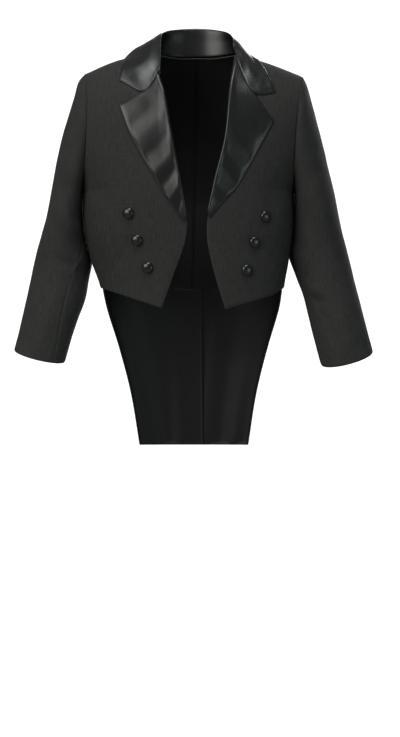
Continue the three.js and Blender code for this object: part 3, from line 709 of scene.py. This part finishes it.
# Each ring: outer x and z, inner x and z, half depth, middle y, and how far its front hangs down.
sleeves = {
    "rings": {
        1: [[144, -39.5, 128.2, -185, 49, 0.5, 0], [151.3, -64, 128.3, -192.5, 50.5, 3, 0],
            [159.5, -95, 127.9, -202, 51.5, 6, 0], [169.3, -135, 127, -213, 52, 9, 0],
            [180, -178, 125.8, -226, 51.5, 12, 0], [188.8, -222, 124.2, -242, 50, 14, 0],
            [198.6, -262, 121.8, -263, 47, 14, 0], [207, -296, 129.8, -287, 44.5, 11, 0],
            [214.6, -326, 140, -316, 41, 5, 0], [222.4, -358, 150.5, -359, 36, -3, 4],
            [229.4, -386, 162, -403, 31.5, -10, 8]],
        -1: [[-152.6, -35, -148.4, -185, 49, 0.5, 0], [-160.2, -60, -149, -193, 50.5, 3, 0],
             [-170.3, -92, -148.6, -202.5, 51.5, 6, 0], [-180.4, -132, -147.6, -214, 52, 9, 0],
             [-188.2, -175, -146, -227, 51.5, 12, 0], [-198, -221, -143.2, -243, 50, 14, 0],
             [-209.2, -262, -136.6, -268, 47, 14, 0], [-216.8, -297, -139.5, -293, 44.5, 11, 0],
             [-222.8, -326, -144.8, -320, 41, 5, 0], [-229, -354, -156.5, -352, 36, -3, 3],
             [-236.2, -383.5, -170, -399, 31.5, -10, 6]],
    },
    "frontSeam": {1: [165, 165, 165, 165, 165, 165, 165, 162, 158, 155, 152, 150],
                  -1: [165, 165, 165, 165, 165, 162, 150, 126, 114, 110, 116, 125]},
    "backSeam": 240,
    "innerSlack": [0, 0, 4, 7, 9, 9, 9, 5, 0, 0, 0, 0], "slackFrom": 180, "slackTo": 255,
    "creases": {
        1: [{"path": [(135, -24, -311), (147, -36, -316), (163, -36, -322)],
             "width": 4.5, "depth": -3.6, "open": 0.4},
            {"path": [(130, -28, -292), (146, -38, -303), (166, -36, -311)], "width": 6, "depth": 2.4},
            {"path": [(166, -36, -328), (176, -34, -356), (184, -34, -384)], "width": 7, "depth": -2.0},
            {"path": [(180, -34, -322), (192, -30, -354), (202, -26, -386)], "width": 8, "depth": 1.8},
            {"path": [(142, -38, -196), (156, -36, -232), (176, -32, -266)], "width": 8, "depth": -2.2},
            {"path": [(150, -42, -150), (162, -40, -190), (176, -36, -230)], "width": 10, "depth": 2.0},
            {"path": [(176, 44, -270), (160, 50, -288), (142, 44, -300)], "width": 7, "depth": -1.8},
            {"path": [(182, 42, -292), (164, 47, -308), (148, 40, -322)], "width": 7, "depth": 1.5}],
        -1: [{"path": [(-147, -36, -226), (-156, -42, -210), (-166, -42, -184), (-175, -36, -158)],
              "width": 7, "depth": -3.2, "open": 0.2},
             {"path": [(-156, -38, -238), (-170, -38, -218), (-184, -32, -188)], "width": 9, "depth": 2.2},
             {"path": [(-139, -24, -286), (-156, -34, -276), (-178, -32, -266)],
              "width": 7, "depth": -2.4, "open": 0.3},
             {"path": [(-178, -34, -296), (-190, -32, -336), (-202, -28, -380)], "width": 8, "depth": 1.8},
             {"path": [(-192, -22, -210), (-202, -20, -240), (-210, -16, -272)], "width": 9, "depth": 2.0},
             {"path": [(-152, -46, -140), (-162, -46, -176), (-168, -44, -200)], "width": 10, "depth": 1.2},
             {"path": [(-190, 44, -268), (-172, 50, -284), (-152, 44, -300)], "width": 7, "depth": -1.8},
             {"path": [(-196, 42, -290), (-178, 47, -306), (-160, 40, -320)], "width": 7, "depth": 1.5}],
    },
}


def sleevePoint(side, k, degrees):
    angle = math.radians(degrees)
    if k == 0:
        return armhole(side, angle)
    ox, oz, ix, iz, deep, y, drop = sleeves["rings"][side][k - 1]
    x, z = mix((ox, oz), (ix, iz), (1 - math.cos(angle)) / 2)
    bow = armholes[side]["bow"] * math.sin(angle) ** 2 * max(0, 1 - k / 5)
    share = clamp((degrees % 360 - sleeves["slackFrom"]) / (sleeves["slackTo"] - sleeves["slackFrom"]))
    slack = side * sleeves["innerSlack"][k] * math.sin(math.pi * share) ** 2
    return [x - bow - slack, y - deep * math.sin(angle), z - drop * math.sin(angle)]


def sleeveSurface(side, top):
    seam, back = sleeves["frontSeam"][side], sleeves["backSeam"]

    def place(u, v):
        ends = [(back - 360, seam[k]) if top else (seam[k], back) for k in range(12)]
        return between([sleevePoint(side, k, lerp(a, b, u)) for k, (a, b) in enumerate(ends)], v * 11)

    return place


# The grain of a sleeve runs along it, at an even spread round the ring.
def sleeveGrain(side, top):
    seam, back = sleeves["frontSeam"][side], sleeves["backSeam"]

    def grain(u, v, row, c, across):
        k = min(10, int(v * 11))
        front = lerp(seam[k], seam[k + 1], v * 11 - k)
        degrees = lerp(back - 360, front, u) if top else lerp(front, back, u)
        return 200 + degrees * 0.72, 385 * v

    return grain


def sleeveRelief(side, top):
    def relief(p, u, v):
        soft = 0.55 * rumple(p, 45, 41 + side) + 0.3 * rumple(p, 20, 47 + side)
        head = 0.5 * math.sin(46 * u) * math.exp(-(v / 0.03) ** 2) if top else 0
        return soft + head + creased(p, sleeves["creases"][side])
    return relief


for side, name in sideNames.items():
    made = makeSheet("topSleeve" + name.title(), sleeveSurface(side, True), 70, 110, (240, 385), suitWall,
                     side > 0, sleeveRelief(side, True), suitCloth, grain=sleeveGrain(side, True))
    finishPiece(made, "top_sleeve_" + name)
    made = makeSheet("underSleeve" + name.title(), sleeveSurface(side, False), 30, 80, (70, 270), suitWall,
                     side > 0, sleeveRelief(side, False), suitCloth, grain=sleeveGrain(side, False))
    finishPiece(made, "under_sleeve_" + name)
print("sleeves made")

lapels = {
    "rollLift": 3.2, "rollTurn": 0.16,
    1: {"top": [[49, -4.5], [52.5, -15], [60.5, -36], [75.5, -56.5], [99.5, -90]],
        "roll": [[49, -4.5], [46.5, -22], [42.4, -46], [37, -109], [24.5, -162.5], [14.8, -207]],
        "outer": [[99.5, -90], [90.3, -106], [66, -150.5], [51, -175.5], [30, -199], [16.6, -214.5]]},
    -1: {"top": [[-47.4, -30], [-53.5, -40.5], [-68, -53.5], [-98, -70]],
         "roll": [[-47.4, -30], [-44.5, -40], [-40, -53], [-29.1, -117], [-17.5, -180.5], [-12.7, -211]],
         "outer": [[-98, -70], [-81.6, -112.5], [-60, -151.5], [-39.4, -186], [-25.5, -206], [-14, -220.5]]},
    "ripples": [(0.14, 0.05, -0.9), (0.27, 0.06, 0.9), (0.41, 0.05, -1.0), (0.54, 0.05, 1.0),
                (0.66, 0.045, -1.1), (0.78, 0.04, 0.9), (0.88, 0.03, -0.7)],
}


def lapelSurface(side):
    cut = lapels[side]
    bottom = [cut["roll"][-1], cut["outer"][-1]]
    turn = lapels["rollTurn"]

    def flat(u, v):
        t, b = along(cut["top"], u, False), along(bottom, u, False)
        l, r = along(cut["roll"], v), along(cut["outer"], v)
        corner = [(1 - u) * (1 - v) * cut["top"][0][i] + u * (1 - v) * cut["outer"][0][i]
                  + (1 - u) * v * bottom[0][i] + u * v * bottom[1][i] for i in (0, 1)]
        return [(1 - v) * t[i] + v * b[i] + (1 - u) * l[i] + u * r[i] - corner[i] for i in (0, 1)]

    # From turn to 1 the satin lies on the front; below turn it rolls round the front's edge to the inside.
    def place(w, v):
        radius = 2.9 - 1.0 * v
        inward = side * radius
        if w >= turn:
            u = (w - turn) / (1 - turn)
            x, z = flat(u, v)
            x += inward * (1 - u) ** 3 * (1 - 0.6 * v)
            return spot(x, z, -1, layerGap + satinSolid + lapels["rollLift"] * (1 - u) ** 2 * (1 - 0.5 * v))
        x, z = flat(0, v)
        x += inward * (1 - 0.6 * v)
        lift = layerGap + satinSolid + lapels["rollLift"] * (1 - 0.5 * v)
        p, n = Vector(spot(x, z, -1, lift)), bodyNormal(x, min(z, topZ(x) - 0.6), -1)
        angle = (1 - w / turn) * math.pi
        sideways = Vector((-side, 0, 0))
        sideways = (sideways - n * sideways.dot(n)).normalized()
        return list(p - n * radius + n * radius * math.cos(angle) + sideways * radius * math.sin(angle))

    return place


def lapelRelief(side):
    def relief(p, w, v):
        inner = ease((w - lapels["rollTurn"]) / 0.15) * ease((1 - w) / 0.1)
        slope = v + 0.05 * (w - 0.5) * side
        waves = sum(d * math.exp(-((slope - m) / s) ** 2) for m, s, d in lapels["ripples"])
        return inner * ((0.35 + 0.7 * v) * waves + 0.4 * rumple(p, 22, 60 + side)) + 0.15
    return relief


for side, name in sideNames.items():
    made = makeSheet("lapel" + name.title(), lapelSurface(side), 44, 90, (60, 180), satinWall, side < 0,
                     lapelRelief(side), satinCloth, (0, 0.5, 0.4, 0.4))
    finishPiece(made, "lapel_" + name)
print("lapels made")

collar = {
    1: [
        {"foot": [50.8, -18.5, -0.4], "fold": [48.4, -18.5, 7],
         "fall": [[52.6, -9.5, -1, 3.4], [61.6, -35.3, -1, 1.6],
                  [76.5, -55.2, -1, 0.8], [101.6, -52.5, -1, 0.6]]},
        {"foot": [53.6, -14, 0.2], "fold": [48, -14.5, 11.5],
         "fall": [[57.5, -2.5, -1, 5], [68, -21.5, -1, 2.4], [81, -36, -1, 1.2], [96, -39, -1, 0.8]]},
        {"foot": [55.6, -8, 1.2], "fold": [47.4, -8, 18],
         "fall": [[55.5, -10, 14], [68.5, -7.5, -1, 3.4], [78.5, -16, -1, 1.4], [87.5, -21, -1, 0.9]]},
        {"foot": [57, 0, 2.2], "fold": [46.4, 3, 24],
         "fall": [[54.5, 2, 19], [63, 1, 8.5], [70, -4.6, -1, 2.2], [77, -6.9, -1, 1]]},
        {"foot": [46.6, 16.2, 2.8], "fold": [39.5, 22, 31.5],
         "fall": [[47, 29, 25], [56, 33, 9], [63, 32, -4], [70, -14, 1, 1]]},
        {"foot": [24.5, 30.6, 1.2], "fold": [21.5, 33.5, 35.5],
         "fall": [[24.5, 42, 30.5], [29.5, 47, 14], [33.5, 49, -2], [37, -18, 1, 1]]},
    ],
    0: {"foot": [1, 34.8, 1], "fold": [1, 37, 37],
        "fall": [[1, 45, 32], [1, 50.5, 15], [1, 52, -1], [1, -18, 1, 1]]},
    -1: [
        {"foot": [-45.3, -29.5, -1, -0.4], "fold": [-45.6, -24.5, -1, 3.4],
         "fall": [[-51.2, -31.6, -1, 2.8], [-55, -39.2, -1, 2.2],
                  [-69, -52, -1, 1.2], [-98.2, -37, -1, 1.2]]},
        {"foot": [-49.3, -35.5, -11], "fold": [-46.2, -35, -4],
         "fall": [[-55, -12, -1, 5.5], [-66, -18, -1, 5], [-79, -24, -1, 3.4], [-96.5, -24.5, -1, 1.6]]},
        {"foot": [-52.8, -20.5, -2], "fold": [-46, -19, 11],
         "fall": [[-56, -16, 15], [-69, -16.5, 8.5], [-81.5, -16.5, 1.5], [-94, -14.5, -1, 1.6]]},
        {"foot": [-56.8, -1, 1.8], "fold": [-44.6, 0, 27],
         "fall": [[-55.5, 1, 22.5], [-67.5, 0.5, 14.5], [-79, 0, 7.5], [-89.5, -1, -1.6]]},
        {"foot": [-46, 16.4, 2.4], "fold": [-37.5, 22, 33],
         "fall": [[-47, 29, 27.5], [-58.5, 33, 13.5], [-69.5, 32, 1], [-79.5, -13, 1, 1.5]]},
        {"foot": [-23, 31, 0.6], "fold": [-19.5, 34, 36],
         "fall": [[-23, 42.5, 31], [-28.5, 47.5, 14], [-33, 49.5, -2], [-37.5, -18, 1, 1]]},
    ],
}


def collarSurface():
    def placed(p):
        return p if len(p) == 3 else spot(p[0], p[1], p[2], p[3] + satinSolid + layerGap)

    def across(s):
        foot, fold = placed(s["foot"]), placed(s["fold"])
        return [foot, mix(foot, fold, 0.5), fold] + [placed(p) for p in s["fall"]]

    stations = [across(s) for s in [*collar[-1], collar[0], *reversed(collar[1])]]

    def place(u, v):
        line = [between([s[c] for s in stations], v * 12) for c in range(7)]
        p = between(line, u * 6)
        return clearOf(p, satinSolid + layerGap + 0.4) if u > 0.4 else p

    return place


def collarRelief(p, u, v):
    return ease((u - 0.45) / 0.2) * (0.5 * rumple(p, 24, 71) + 0.3 * rumple(p, 11, 75))


made = makeSheet("collarSatin", collarSurface(), 64, 130, (90, 300), satinWall, False, collarRelief,
                 satinCloth, (0.3, 0.5, 0.4, 0.4))
finishPiece(made, "collar")
print("collar made")

buttons = {
    "radius": 7.2, "rim": 1.6, "height": 5.2, "sides": 48, "base": 0.9, "gather": 0.97,
    "rise": (0, 12, 24, 36, 48, 59, 69, 78),  # rings up the dome, in degrees
    1: [(88.6, -212), (74.9, -245), (65, -281)],
    -1: [(-86.6, -208.5), (-75.8, -243), (-62, -278)],
}


# One covered button, lying on its back: a disc drawn up into a rim and a dome, its cloth gathered underneath.
def modelButton():
    radius, rim, height, sides = (buttons[key] for key in ("radius", "rim", "height", "sides"))
    rise = [math.radians(a) for a in buttons["rise"]]
    gather = buttons["gather"]
    wide, up = radius * buttons["base"], 0
    rings = [(radius * 0.97, rim * 0.3), (radius * 1.01, rim * 0.7)]
    rings += [(radius * math.cos(a), rim + (height - rim) * math.sin(a)) for a in rise]
    bpy.ops.object.select_all(action="DESELECT")
    bpy.ops.mesh.primitive_circle_add(vertices=sides, radius=wide * mm, fill_type="NGON")
    piece = bpy.context.object
    bpy.ops.object.mode_set(mode="EDIT")
    bpy.ops.mesh.select_mode(type="VERT")
    bpy.ops.mesh.select_all(action="SELECT")
    for nextWide, nextUp in rings:
        bpy.ops.mesh.extrude_region_move(TRANSFORM_OT_translate={"value": (0, 0, (nextUp - up) * mm)})
        bpy.ops.transform.resize(value=(nextWide / wide, nextWide / wide, 1), center_override=(0, 0, 0))
        wide, up = nextWide, nextUp
    bpy.ops.mesh.poke(offset=0.0)
    bpy.ops.mesh.select_all(action="DESELECT")
    bpy.ops.object.mode_set(mode="OBJECT")
    for v in piece.data.vertices:
        place = round(math.atan2(v.co.y, v.co.x) * sides / math.tau)
        v.select = v.co.z < rim * 0.8 * mm and place % 2 == 0
    bpy.ops.object.mode_set(mode="EDIT")
    bpy.ops.transform.resize(value=(gather, gather, 1), center_override=(0, 0, 0))
    bpy.ops.mesh.select_all(action="SELECT")
    bpy.ops.mesh.normals_make_consistent(inside=False)
    bpy.ops.object.mode_set(mode="OBJECT")
    bpy.ops.object.shade_smooth()
    layer = piece.data.uv_layers[0]
    layer.name = "cut"
    for loop in piece.data.loops:
        layer.data[loop.index].uv = piece.data.vertices[loop.vertex_index].co.xy
    piece.data.materials.append(buttonSatin)
    return piece


def placeButton(pattern, name, x, z):
    piece = pattern.copy()
    piece.data = pattern.data.copy()
    piece.name = piece.data.name = name + "Cover"
    bpy.context.scene.collection.objects.link(piece)
    turn = Vector((0, 0, 1)).rotation_difference(bodyNormal(x, z, -1)).to_matrix().to_4x4()
    piece.matrix_world = Matrix.Translation(Vector(spot(x, z, -1, layerGap + 0.2)) * mm) @ turn
    bpy.ops.object.select_all(action="DESELECT")
    piece.select_set(True)
    bpy.context.view_layer.objects.active = piece
    bpy.ops.object.transform_apply(location=True, rotation=True, scale=True)
    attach(piece, "root")
    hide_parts(name)


pattern = modelButton()
for side, name in sideNames.items():
    for i, (x, z) in enumerate(buttons[side]):
        placeButton(pattern, f"button_{name}_{i + 1}", x, z)
bpy.data.objects.remove(pattern)
print("buttons made")

# backdrop is how bright the white paper looks, ambient the light that it gives; lights are in watts
studio = {"backdrop": 1.0, "ambient": 0.26, "key": 83, "fill": 19, "top": 40, "back": 110}
bpy.ops.object.select_all(action="DESELECT")
bpy.ops.mesh.primitive_plane_add(size=60, location=(0, 0, -1.05))
floor = bpy.context.object
floor.name = "floor"
paper = bpy.data.materials.new("paleFloor")
paper.use_nodes = True
paperTree = paper.node_tree
paperShader = paperTree.nodes["Principled BSDF"]
grain = noiseAt(paperTree, paperTree.nodes.new("ShaderNodeTexCoord").outputs["Object"], 3.0, 2.0)
paperTone = paperTree.nodes.new("ShaderNodeMix")
paperTone.data_type = "RGBA"
paperTone.inputs["A"].default_value = (0.30, 0.30, 0.30, 1)
paperTone.inputs["B"].default_value = (0.34, 0.34, 0.34, 1)
paperTree.links.new(grain, paperTone.inputs["Factor"])
paperTree.links.new(paperTone.outputs["Result"], paperShader.inputs["Base Color"])
paperShader.inputs["Roughness"].default_value = 0.9
paperShader.inputs["Emission Color"].default_value = (1, 1, 1, 1)
paperSeen = paperTree.nodes.new("ShaderNodeLightPath")
paperTree.links.new(maths(paperTree, "MULTIPLY", paperSeen.outputs["Is Camera Ray"], studio["backdrop"]),
                    paperShader.inputs["Emission Strength"])
floor.data.materials.append(paper)

world = bpy.data.worlds.new("studio")
bpy.context.scene.world = world
world.use_nodes = True
sky = world.node_tree.nodes["Background"]
sky.inputs["Color"].default_value = (1, 1, 1, 1)
seen = world.node_tree.nodes.new("ShaderNodeLightPath")
strength = maths(world.node_tree, "MULTIPLY_ADD", seen.outputs["Is Camera Ray"], studio["backdrop"],
                 studio["ambient"])
world.node_tree.links.new(strength, sky.inputs["Strength"])


def softLight(name, place, target, size, power, colour=(1, 1, 1)):
    data = bpy.data.lights.new(name, "AREA")
    data.shape, data.size, data.energy, data.color = "SQUARE", size, power, colour
    lamp = bpy.data.objects.new(name, data)
    bpy.context.scene.collection.objects.link(lamp)
    lamp.location = place
    lamp.rotation_euler = (Vector(target) - Vector(place)).to_track_quat("-Z", "Y").to_euler()


middle = (cadBox[0] + cadBox[1]) / 2
softLight("keyLight", (-2.0, -2.2, 0.85), middle, 2.2, studio["key"], (1.0, 0.99, 0.95))
softLight("fillLight", (2.1, -2.0, -0.75), middle, 1.5, studio["fill"], (0.78, 1.0, 0.97))
softLight("topLight", (0.0, -0.9, 1.9), middle, 1.1, studio["top"], (0.96, 1.0, 0.98))
softLight("backLight", (0.9, 2.8, 0.8), middle, 2.6, studio["back"])

camera = bpy.data.objects.new("camera", bpy.data.cameras.new("camera"))
bpy.context.scene.collection.objects.link(camera)
distance, pictureHeight = 5.0, 0.958  # metres: how far away, and how much height the picture takes in
camera.location = (0.005, -distance, -0.4075)
camera.rotation_euler = (math.pi / 2, 0, 0)
camera.data.sensor_fit, camera.data.sensor_height = "VERTICAL", 36
camera.data.lens = 36 * distance / pictureHeight
bpy.context.scene.camera = camera
bpy.context.scene.view_settings.view_transform = "Standard"
